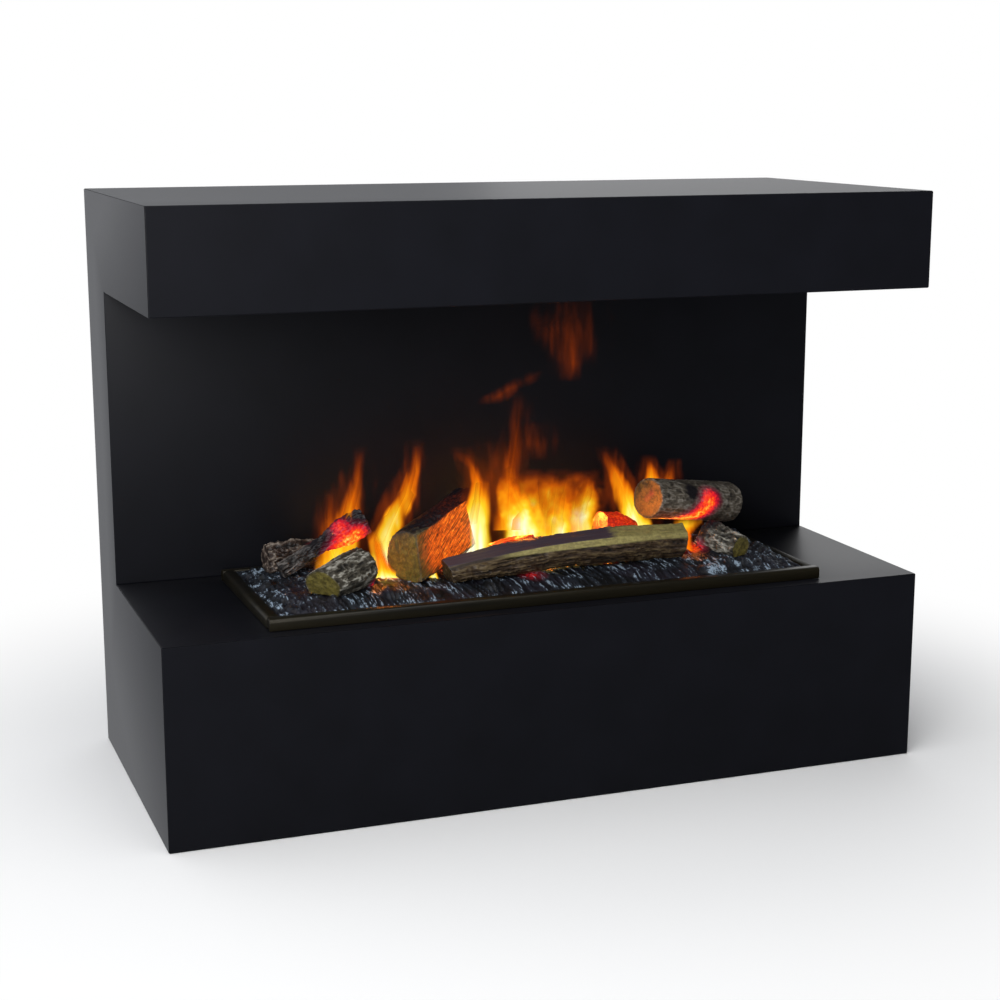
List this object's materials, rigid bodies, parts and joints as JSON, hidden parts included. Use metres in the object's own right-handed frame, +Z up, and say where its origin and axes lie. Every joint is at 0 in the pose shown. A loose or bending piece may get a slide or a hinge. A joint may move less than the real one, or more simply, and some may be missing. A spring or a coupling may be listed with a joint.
{
  "type": "electric fireplace",
  "caption": "Wall-hung electric mist fireplace: a three-sided black surround with a box hood, a slim column and a deep hearth holding a framed coal bed with a burning log set.",
  "frame": {"origin": "middle of the surround's footprint, on the plane that its base stands on", "axes": "+X along the width to the right seen from the front, -Y out of the front towards the room, +Z up; the wall is at +Y"},
  "size_m": [1, 0.44, 0.75],
  "materials": {
    "black_lacquer": "satin black lacquer on fibreboard",
    "black_board": "matt black board",
    "zinc_plated_steel": "zinc plated",
    "black_sheet_steel": "fine powder coat",
    "dark_moulded_plastic": "moulded, fine texture",
    "bronzed_trim": "dark bronzed satin",
    "smoked_tank_plastic": "smoked clear plastic",
    "blue_cap_plastic": "moulded",
    "red_plastic": "moulded gloss",
    "button_plastic": "moulded",
    "lamp_glass": "clear",
    "amber_plastic": "translucent amber",
    "coal_bed": "cast and painted, rough",
    "log_bark": "cast resin, painted as bark and cut wood",
    "charred_bark": "cast resin, painted as char",
    "glowing_ember": "translucent cast resin lit from below"
  },
  "bodies": {
    "surround": {"side_panel_left": "black_lacquer", "side_panel_right": "black_lacquer", "base_bottom_panel": "black_lacquer", "hood_top_panel": "black_lacquer", "hood_front_panel": "black_lacquer", "hood_soffit_panel": "black_lacquer", "fire_back_panel": "black_lacquer", "hearth_top_panel": "black_lacquer", "hearth_front_panel": "black_lacquer", "rear_board": "black_board", "column_rib_left": "black_board", "column_rib_right": "black_board", "hanging_rail": "zinc_plated_steel", "wall_rail": "zinc_plated_steel", "cover_screw_1": "zinc_plated_steel", "cover_screw_2": "zinc_plated_steel", "cover_screw_3": "zinc_plated_steel", "cover_screw_4": "zinc_plated_steel", "mist_transducer_1": "zinc_plated_steel", "mist_transducer_2": "zinc_plated_steel", "float_stem": "zinc_plated_steel", "lamp_tray": "zinc_plated_steel", "rear_service_cover": "black_sheet_steel", "cassette_housing": "black_sheet_steel", "power_supply": "black_sheet_steel", "power_inlet": "dark_moulded_plastic", "sump_basin": "dark_moulded_plastic", "mist_nozzle": "dark_moulded_plastic", "mist_fan_housing": "dark_moulded_plastic", "air_filter": "dark_moulded_plastic", "control_box": "dark_moulded_plastic", "trim_bar_front": "bronzed_trim", "trim_bar_back": "bronzed_trim", "trim_bar_left": "bronzed_trim", "trim_bar_right": "bronzed_trim", "flame_lamp_1": "lamp_glass", "flame_lamp_2": "lamp_glass", "flame_lamp_3": "lamp_glass", "amber_filter": "amber_plastic"},
    "fuel_bed_and_logs": {"fuel_bed": "coal_bed", "log_long_front": "log_bark", "log_front_left": "log_bark", "log_upright": "log_bark", "log_back_left": "log_bark", "log_burning_branch": "charred_bark", "log_round": "log_bark", "log_short_right": "log_bark", "ember_stick": "glowing_ember", "ember_block": "glowing_ember", "ember_lump": "glowing_ember"},
    "tank": {"water_tank": "smoked_tank_plastic"},
    "cap": {"tank_cap": "blue_cap_plastic"},
    "valve": {"valve_plunger": "red_plastic"},
    "fan_rotor": {"mist_fan_rotor": "dark_moulded_plastic"},
    "float": {"level_float": "amber_plastic"},
    "rocker": {"rocker_switch": "red_plastic"},
    "button_1": {"control_button_1": "button_plastic"},
    "button_2": {"control_button_2": "button_plastic"},
    "button_3": {"control_button_3": "button_plastic"}
  },
  "joints": [
    {"name": "fuel_bed_lift", "type": "slide", "parent": "surround", "child": "fuel_bed_and_logs", "axis": [0, 0, 1], "range_m": [0, 0.15]},
    {"name": "tank_lift", "type": "slide", "parent": "surround", "child": "tank", "axis": [0, 0, 1], "range_m": [0, 0.02]},
    {"name": "tank_cap_turn", "type": "hinge", "parent": "tank", "child": "cap", "pos_m": [0.27, -0.04, 0.1486], "axis": [0, 0, 1], "range_deg": [0, 120]},
    {"name": "valve_slide", "type": "slide", "parent": "cap", "child": "valve", "axis": [0, 0, 1], "range_m": [-0.004, 0]},
    {"name": "fan_spin", "type": "hinge", "parent": "surround", "child": "fan_rotor", "pos_m": [-0.3045, -0.04, 0.1373], "axis": [1, 0, 0], "continuous": true},
    {"name": "float_slide", "type": "slide", "parent": "surround", "child": "float", "axis": [0, 0, 1], "range_m": [-0.03, 0]},
    {"name": "rocker_tip", "type": "hinge", "parent": "surround", "child": "rocker", "pos_m": [0.01, -0.14775, 0.2053], "axis": [1, 0, 0], "range_deg": [0, 14]},
    {"name": "button_1_press", "type": "slide", "parent": "surround", "child": "button_1", "axis": [0, 0, -1], "range_m": [0, 0.0015], "stiffness_N_per_m": 400},
    {"name": "button_2_press", "type": "slide", "parent": "surround", "child": "button_2", "axis": [0, 0, -1], "range_m": [0, 0.0015], "stiffness_N_per_m": 400},
    {"name": "button_3_press", "type": "slide", "parent": "surround", "child": "button_3", "axis": [0, 0, -1], "range_m": [0, 0.0015], "stiffness_N_per_m": 400}
  ],
  "couplings": [
    {"joint": "valve_slide", "follows": "tank_lift", "ratio": -0.2}
  ]
}
